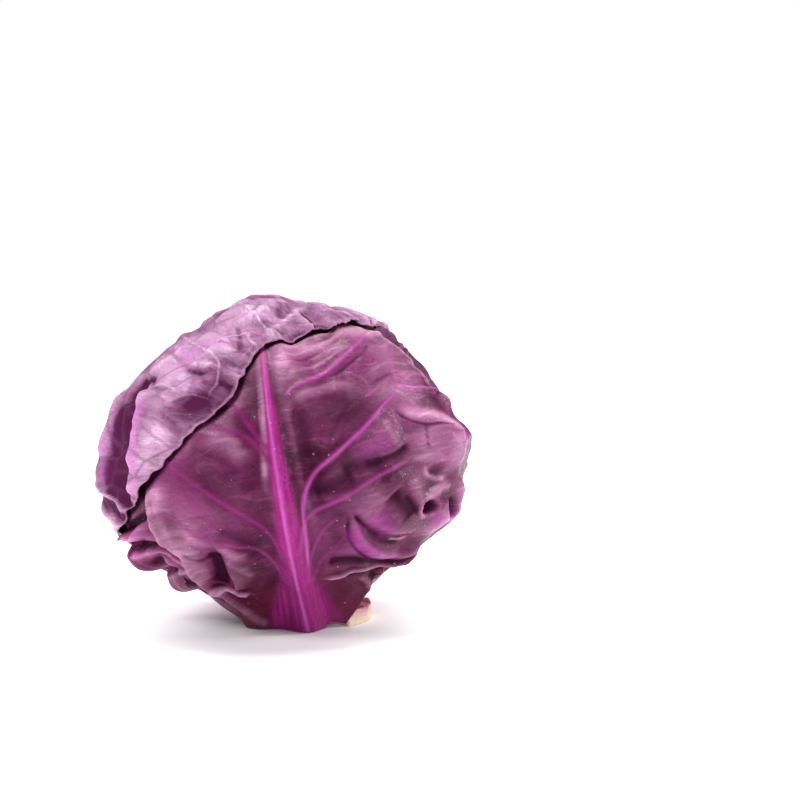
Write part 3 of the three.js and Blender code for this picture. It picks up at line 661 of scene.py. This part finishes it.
def layerRadius(order, direction):
    # how far from the middle of the head a leaf lies, over the core and the leaves inside it
    fromDown = np.degrees(np.arccos(np.clip(-direction[:, 2], -1, 1)))
    neck = smooth(headShape["neckFrom"], headShape["neckTo"], fromDown)
    radius = coreRadius(direction) + headShape["coreGap"] + wrapperLeaves[order]["neckDrop"] * neck
    for inner in wrapperLeaves[:order]:
        covered = smooth(-headShape["drape"], -headShape["coverMargin"], insideBy(inner, direction))
        radius += covered * headShape["layerStep"]
        x, y = unwrapLeaf(inner, direction)
        a = np.clip((y - inner["foot"]) / (inner["tip"] - inner["foot"]), 0, 1)
        half = ribHalfWidth(inner, a) * 1.9
        radius += headShape["pressedRib"] * inner["ribHeight"] * (1 - a) * smooth(half, half * 0.3, np.abs(x))
    return radius


leanTurn = math.radians(headShape["lean"])
leanMatrix = np.array([[math.cos(leanTurn), 0, math.sin(leanTurn)], [0, 1, 0],
                       [-math.sin(leanTurn), 0, math.cos(leanTurn)]])


def placeOnHead(direction, radius):
    return (direction * radius[:, None]) @ leanMatrix + np.array(headShape["centre"])


def fitFoot(points):
    # feet bend round the stalk, just clear of it, and stand a little off the floor
    reach = np.maximum(np.hypot(points[:, 0], points[:, 1]), 1e-6)
    radius, top = headShape["stalkRadius"], headShape["stalkTop"]
    least = (radius + headShape["stalkGap"]) * smooth(top + 14, top + 0.5, points[:, 2])
    points[:, :2] *= np.maximum(least / reach, 1)[:, None]
    points[:, 2] = np.maximum(points[:, 2], headShape["floorGap"])
    return points


def sideVeins(leaf):
    # the veins of a leaf that has none drawn for it: from the rib to the edge, each with two forks
    dice = np.random.default_rng(leaf["seed"])
    bright, deep = leaf["veinTone"]
    shares = np.linspace(0, 1, 9)
    found = []
    for sign, side in ((-1, leaf["left"]), (1, leaf["right"])):
        for start, end in zip(leaf["veinsFrom"], side["veinsTo"]):
            a = start + (end - start) * shares ** 0.8
            rib = ribHalfWidth(leaf, np.array([start]))[0] * 0.5
            wander = np.cumsum(dice.normal(0, 0.008, 9)) * np.sin(shares * math.pi)
            half = along(side["half"], a)
            x = sign * (rib + (half - rib) * shares)
            y = flatHeight(leaf, a + wander, x)
            found.append((np.stack([x, y], -1), 1.6, 0.6, 1.4 * (1 - 0.4 * start), bright, deep))
            for fork in (3, 5):
                turnTo = dice.choice([-1, 1]) * dice.uniform(0.05, 0.1)
                forkA = a[fork:] + turnTo * (shares[fork:] - shares[fork]) * 2
                forkY = flatHeight(leaf, np.clip(forkA, 0, 1), x[fork:])
                forkY += y[fork] - forkY[0]
                found.append((np.stack([x[fork:], forkY], -1), 0.8, 0.5, 0.7, bright * 0.7, deep * 0.5))
    return found


# in millimetres: height and size of the soft rolls, sizes of the quilting and of the cells between small veins,
# the deepest a fold may go, and how far the masks look around for high and low places, in rows of the grid
leafMake = {"roll": (0.9, 34), "quiltSize": 13, "cellSize": 15, "deepest": 2.0, "broadLook": 26, "fineLook": 5}


def leafRelief(leaf, x, y, a, share):
    # relief of both faces, raised veins of the outer face only, and the masks that colour them
    lift, shadingAndTone, raised, vein, deepVein, violetSheen, slideX, slideY = (np.zeros_like(x) for _ in range(8))
    for start, end, width, height in leaf["folds"]:
        lift += height * hump(nearLine(x, y, np.array([start, end], float))[0], width)
    height, count, phase, reach = leaf["ruffle"]
    wave = 0.5 + 0.5 * np.sin(2 * math.pi * (count * a + phase + np.sign(x) * 0.1))
    lift += height * smooth(1 - reach, 1, share) * wave
    for points, width, height, paler, *slide in leaf["lines"]:
        away, where, side = nearLine(x, y, curved(points))
        if isinstance(width, tuple):
            width = np.where(side > 0, *width)
        body = (smooth(0, 0.12, where) * smooth(1, 0.88, where) * 0.8 + 0.2) * hump(away, width)
        lift += height * body
        shadingAndTone += paler * body
        if slide:
            slideX += slide[0][0] * body
            slideY += slide[0][1] * body
    for (middleX, middleY), (wide, tall), height, paler, *steep in leaf["spots"]:
        away = np.hypot((x - middleX) / wide, (y - middleY) / tall)
        body = np.exp(-(away ** (steep[0] if steep else 2)))
        lift += height * body
        shadingAndTone += paler * body
    seed = leaf["seed"]
    rollHeight, rollSize = leafMake["roll"]
    quilting = softNoise(x, y, leafMake["quiltSize"], seed + 1, 2)
    lift += rollHeight * softNoise(x, y, rollSize, seed, 2) + leaf["quilt"] * quilting
    lift += smooth(0.55, 1, share) * 0.9 * softNoise(x * 0.5, y, 9, seed + 2, 3)
    cellSize = leafMake["cellSize"]
    cells, facet = cellEdge(x + 2.5 * softNoise(x, y, cellSize, seed + 3, 1), y, cellSize, seed + 4)
    tiny, bright, dark, swell = leaf["smallVeins"]
    lift += swell * smooth(0, 5.5, cells) * (0.6 + 0.8 * facet)  # the blade swells a little between its veins
    shadingAndTone += (facet - 0.5) * leaf["facets"] * smooth(0, 2.0, cells)
    for points, width, strength in leaf["violetSheen"]:
        away, where, _ = nearLine(x, y, curved(points))
        violetSheen = np.maximum(violetSheen, strength * (smooth(0, 0.2, where) * smooth(1, 0.8, where) * hump(away, width)))
    for points, wide, narrow, high, paler, deeper in leaf["veins"] or sideVeins(leaf):
        away, where, _ = nearLine(x, y, curved(points))
        width = wide + (narrow - wide) * where
        fade = 1 - 0.5 * where
        ends = smooth(1.0, 0.93, where) * smooth(0, 0.1, where)
        raised = np.maximum(raised, high * fade * hump(away, width) * ends)
        vein = np.maximum(vein, paler * (1 - 0.35 * where) * hump(away, width * 0.62) * ends)
        deepVein = np.maximum(deepVein, deeper * (1 - 0.4 * where) * hump(away, width * 1.25) * ends)
        lift -= 0.4 * high * fade * hump(away, width * 3.2) * ends
    small = hump(cells, 0.55) * (0.4 + 0.6 * smooth(-0.3, 0.5, softNoise(x, y, 21, seed + 5, 2)))
    raised += tiny * small * (1 - vein)
    vein = np.maximum(vein, bright * small) * (1 - 0.85 * np.clip(-shadingAndTone, 0, 1))
    deepVein = np.maximum(deepVein, dark * small)
    return lift, raised, {"vein": vein, "deepVein": deepVein, "violetSheen": violetSheen}, shadingAndTone, (slideX, slideY)


def blurred(field, rounds):
    # the field, on the leaf's own grid of rows, averaged over its neighbours
    for _ in range(rounds):
        padded = np.pad(field, 1, mode="edge")
        field = (padded[:-2, 1:-1] + padded[2:, 1:-1] + padded[1:-1, :-2] + padded[1:-1, 2:] + field * 2) / 6
    return field


def makeLeaf(order):
    leaf = wrapperLeaves[order]
    seed = leaf["seed"]
    columns, rows = leaf["grid"]
    clearSelection()
    bpy.ops.mesh.primitive_grid_add(x_subdivisions=columns, y_subdivisions=rows, size=2, calc_uvs=True)
    piece = bpy.context.object
    piece.name = leaf["name"]
    bpy.ops.object.mode_set(mode="EDIT")
    bpy.ops.mesh.select_all(action="SELECT")
    bpy.ops.mesh.extrude_region_move(TRANSFORM_OT_translate={"value": (0, 0, 1)})
    bpy.ops.object.mode_set(mode="OBJECT")
    mesh = piece.data
    flat = pointsOf(mesh)
    column = np.rint((flat[:, 0] + 1) / 2 * columns).astype(int)
    row = np.rint((flat[:, 1] + 1) / 2 * rows).astype(int)
    index = column * (rows + 1) + row

    # the work is done once on the grid, and both faces read it;
    # a leaf seen mostly from one side has more columns there
    spacing = np.interp(np.linspace(0, 1, columns + 1), leaf["columns"], leaf["columnsAt"])
    v, u = np.meshgrid(np.linspace(0, 1, rows + 1), spacing)
    a, across = v.ravel(), u.ravel()
    share = np.abs(across)
    x = across * sideCurve(leaf, "half", a, across)
    y = flatHeight(leaf, a, x)
    lift, raised, masks, shadingAndTone, slide = leafRelief(leaf, x, y, a, share)
    overRib = np.abs(x) / ribHalfWidth(leaf, a)
    ribCrest = leaf["ribHeight"] * leaf["ribKept"] * (1 - a) * smooth(1.05, 0.0, overRib) ** 1.1
    # the pink of the rib narrows faster than its swelling
    ribShown = 0.34 + 0.7 * (1 - a) ** 2 + 0.45 * smooth(0.22, 0, a)

    # the edge is cut unevenly and its rim turns out a little
    nearEdge = smooth(0.86, 1, np.maximum(share, smooth(0.9, 1, a)))
    jag = (softNoise(x, y, 14, seed + 7, 2) * 1.2 + softNoise(x, y, 4, seed + 6, 2) * 0.8) * leaf["jag"]
    shiftX = jag * nearEdge * np.sign(across) * smooth(0.06, 0.2, a)
    shiftY = softNoise(y, x, 9, seed + 8, 3) * 1.5 * leaf["jag"] * nearEdge * smooth(0.1, 0.25, a)
    rim = np.maximum(smooth(0.955, 1, share), smooth(0.97, 1, a)) * smooth(0.05, 0.2, a)
    lift += rim * (leaf["rimLift"] + 0.6 * softNoise(x, y, 9, seed + 9, 2))

    # the leaf lies flat where others cover it
    direction = wrapLeaf(leaf, x + shiftX + slide[0], y + shiftY + slide[1])
    covered, shaded = np.zeros_like(x), np.zeros_like(x)
    for over in wrapperLeaves[order + 1:]:
        inside = insideBy(over, direction)
        shaded = np.maximum(shaded, smooth(-2.0, -0.4, inside))
        covered = np.maximum(covered, smooth(-headShape["pressFrom"], -headShape["pressTo"], inside))
    free = 1 - covered
    away = smooth(0.03, 0.16, a)
    deepest = leafMake["deepest"]
    lift = np.where(lift < 0, -deepest * (1 - np.exp(lift / deepest)), lift) * (free * away)
    raised = raised * free * away
    base = layerRadius(order, direction) + lift
    pressed = headShape["pressedRib"] + (1 - headShape["pressedRib"]) * free
    thickness = leaf["blade"] + ribCrest * pressed + raised
    rooted = headShape["rootDepth"] * smooth(headShape["rootReach"], 0, a)
    innerFace = fitFoot(placeOnHead(direction, base - rooted))
    outerFace = fitFoot(placeOnHead(direction, base + thickness))
    setPoints(mesh, np.where(flat[:, 2:] > 0.5, outerFace[index], innerFace[index]))

    # masks for the material
    form = (lift + raised + ribCrest * 0.3).reshape(u.shape)
    level = (form - blurred(form, leafMake["broadLook"])).ravel()
    fine = (form - blurred(form, leafMake["fineLook"])).ravel()
    # painted shade in the hollows and painted highlight on the crests, from how far the form lies below or above its
    # blurred self
    hollowShade = np.clip(-level / 1.5, 0, 1) * 0.85 + np.clip(-fine / 0.5, 0, 1) * 0.35
    crest = np.clip(level / 1.6, 0, 1) * 0.6 + np.clip(fine / 0.5, 0, 1) * 0.25
    waxLow, waxStart, waxEnd = leaf["waxFrom"]
    # painted shadow just outside the edge of a leaf that lies over this one
    shadingAndTone = shadingAndTone - shaded
    # the darker drawn tints and the painted shadow beside covering leaves join the hollows' painted shade; the paler
    # drawn tints become painted highlight
    masks.update({
        "rib": smooth(1.25, 0.7, overRib / ribShown) * smooth(1.02, 0.9, a),
        "edge": np.maximum(smooth(0.985, 1, share), smooth(0.99, 1, a)) * (1 - shaded) * leaf["edge"],
        "hollowShade": hollowShade * (1 - shadingAndTone.clip(0, 1)) - 1.4 * shadingAndTone,
        "crest": crest * (1 + shadingAndTone.clip(-1, 0)),
        "pale": shadingAndTone,
        "wax": (0.6 + 0.5 * softNoise(x, y, 30, seed + 12, 3)).clip(0, 1)
        * (waxLow + (1 - waxLow) * smooth(waxStart, waxEnd, a)),
        "low": 0.75 * smooth(0.3, 0.06, a + 0.05 * softNoise(x, y, 20, seed + 13, 2)),
    })
    for name, values in masks.items():
        stored = mesh.attributes.new(name, "FLOAT", "POINT")
        stored.data.foreach_set("value", values.clip(0, 1)[index].astype(np.float32))
    mesh.uv_layers[0].name = "flatLeaf"
    corner = np.empty(len(mesh.loops), int)
    mesh.loops.foreach_get("vertex_index", corner)
    flatPlace = np.stack([x, y], -1)[index][corner] / 100 + 2
    mesh.uv_layers[0].data.foreach_set("uv", flatPlace.astype(np.float32).ravel())
    bpy.ops.object.shade_smooth()
    mesh.materials.append(leafMaterial(leaf["name"] + "_skin", leaf["look"]))
    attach(piece, "root")
    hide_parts("head")
    print("made", leaf["name"], len(mesh.polygons), "faces")


for order in range(len(wrapperLeaves)):
    makeLeaf(order)


coreSet = {"segments": 128, "rings": 80, "sunk": 0.4, "folds": 0.35}

clearSelection()
bpy.ops.mesh.primitive_uv_sphere_add(segments=coreSet["segments"], ring_count=coreSet["rings"], radius=1)
core = bpy.context.object
core.name = "inner_leaves"
outwards = pointsOf(core.data)
outwards /= np.linalg.norm(outwards, axis=1)[:, None]
turnRound = np.arctan2(outwards[:, 1], outwards[:, 0]) * 60
coreFold = coreSet["folds"] * np.abs(softNoise(turnRound, outwards[:, 2] * 40, 12, 3, 2))
setPoints(core.data, placeOnHead(outwards, coreRadius(outwards) - coreSet["sunk"] + coreFold))
bpy.ops.object.shade_smooth()


def coreMaterial():
    made, tree, skin = newMaterial("inner_leaf_skin")
    where = node(tree, "TexCoord").outputs["Object"]
    net = useGroup(fineNet, where, Cells=160.0, Line=0.1)["Net"]
    colour = blend(noise(where, 40, 5, 0.6), (46, 12, 38), (98, 34, 80))
    feedAll(skin, {"Base Color": blend(times(net, 0.3), colour, (150, 84, 130)), "Roughness": 0.42,
                   "Normal": bumped(net, 0.4, 0.0006)})
    return made


core.data.materials.append(coreMaterial())
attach(core, "root")
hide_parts("head")
print("made inner leaves")


stalkSet = {"radius": headShape["stalkRadius"], "top": headShape["stalkTop"], "sides": 96, "stubAzimuth": 74,
            "stubHalfAngle": 34, "stubReach": 28.5, "stubHeight": 7.6, "edgeWidth": 1.1, "voxel": 0.7}

clearSelection()
bpy.ops.mesh.primitive_cylinder_add(vertices=stalkSet["sides"], radius=stalkSet["radius"] * mm,
                                    depth=stalkSet["top"] * mm, location=(0, 0, stalkSet["top"] * mm / 2),
                                    end_fill_type="NGON")
stalk = bpy.context.object
stalk.name = "cut_stalk"
bpy.ops.object.transform_apply(location=True, rotation=True, scale=True)
bpy.ops.object.mode_set(mode="EDIT")
bpy.ops.mesh.select_all(action="SELECT")
bpy.ops.mesh.bisect(plane_co=(0, 0, stalkSet["stubHeight"] * mm), plane_no=(0, 0, 1))
bpy.ops.mesh.select_all(action="DESELECT")
bpy.ops.object.mode_set(mode="OBJECT")
stubOut = math.radians(stalkSet["stubAzimuth"] - 90)
for face in stalk.data.polygons:
    middle = face.center
    apart = abs(math.remainder(math.atan2(middle.y, middle.x) - stubOut, 2 * math.pi))
    face.select = (abs(face.normal.z) < 0.5 and middle.z < stalkSet["stubHeight"] * mm
                   and apart < math.radians(stalkSet["stubHalfAngle"]))
bpy.ops.object.mode_set(mode="EDIT")
bpy.ops.mesh.select_mode(type="FACE")
bpy.ops.mesh.extrude_region_move(TRANSFORM_OT_translate={"value": (0, 0, 0)})
grow = stalkSet["stubReach"] / stalkSet["radius"]
bpy.ops.transform.resize(value=(grow, grow, 1), center_override=(0, 0, 0))
bpy.ops.object.mode_set(mode="OBJECT")
stalkBevel = stalk.modifiers.new("softEdges", "BEVEL")
stalkBevel.width = stalkSet["edgeWidth"] * mm
stalkBevel.segments = 3
stalkBevel.limit_method = "ANGLE"
bpy.ops.object.modifier_apply(modifier="softEdges")
stalkRemesh = stalk.modifiers.new("evenFaces", "REMESH")
stalkRemesh.mode = "VOXEL"
stalkRemesh.voxel_size = stalkSet["voxel"] * mm
bpy.ops.object.modifier_apply(modifier="evenFaces")
places = pointsOf(stalk.data) * 1000
reachOut = np.hypot(places[:, 0], places[:, 1])
around = np.arctan2(places[:, 1], places[:, 0]) * 20
upTaper = 1 - 0.15 * smooth(9, stalkSet["top"], places[:, 2])
fibres = 0.22 * softNoise(around, places[:, 2] * 0.25, 2.4, 9, 3) * smooth(6, 16, reachOut)
places[:, :2] *= (upTaper + fibres / np.maximum(reachOut, 1))[:, None]
unevenTop = 0.6 + 0.9 * softNoise(places[:, 0], places[:, 1], 5, 12, 2)
places[:, 2] -= smooth(21, 24, reachOut) * smooth(4, 7.8, places[:, 2]) * unevenTop
places[:, 2] = np.maximum(places[:, 2], 0)
setPoints(stalk.data, places)
bpy.ops.object.shade_smooth()


def stalkMaterial():
    made, tree, skin = newMaterial("stalk_flesh")
    where = node(tree, "TexCoord").outputs["Object"]
    height = node(tree, "SeparateXYZ", where).outputs["Z"]
    strands = noise(stretched(where, (1, 1, 0.15)), 900, 4, 0.6)
    patches = noise(where, 130, 4, 0.55)
    stain = times(spread(height, 0.001, 0.0075), spread(patches, 0.35, 0.6, 0.2, 1.0))
    colour = blend(strands, (206, 170, 140), (240, 222, 200))
    colour = blend(stain, colour, (168, 66, 112))
    colour = blend(spread(patches, 0.58, 0.75, 0, 0.5), colour, (196, 138, 104))
    feedAll(skin, {"Base Color": colour, "Roughness": spread(patches, 0.3, 0.7, 0.45, 0.62),
                   "Normal": bumped(strands, 0.5, 0.0005)})
    return made


stalk.data.materials.append(stalkMaterial())
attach(stalk, "root")
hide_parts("stalk")
print("made the stalk")


floorSet = {"size": 6.0, "middle": (0, 0.9, 0), "colour": (0.8, 0.785, 0.79, 1), "glow": (0.03, 1.0),
            "glowFrom": (0.15, 1.1), "shadeMiddle": (-0.011, -0.038, 0), "shadeReach": (0.084, 0.18, 1)}

clearSelection()
bpy.ops.mesh.primitive_plane_add(size=floorSet["size"], location=floorSet["middle"])
floor = bpy.context.object
floor.name = "floor"
bpy.ops.object.transform_apply(location=True, rotation=True, scale=True)
floorPaper, paper, paperSkin = newMaterial("white_floor")
floorSpot = node(paper, "TexCoord").outputs["Object"]
# painted shade: the floor glows less in an oval under the head and a little in front of it, and glows white farther
# out
fromShade = vectorSums("SUBTRACT", floorSpot, floorSet["shadeMiddle"])["Vector"]
fitted = vectorSums("DIVIDE", fromShade, floorSet["shadeReach"])["Vector"]
glow = spread(vectorSums("LENGTH", fitted)["Value"], *floorSet["glowFrom"], *floorSet["glow"])
feedAll(paperSkin, {"Base Color": floorSet["colour"], "Roughness": 0.55, "Specular IOR Level": 0.2,
                    "Emission Color": glow, "Emission Strength": 1})
floor.data.materials.append(floorPaper)

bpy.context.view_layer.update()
clearSelection()
print("scene is ready")
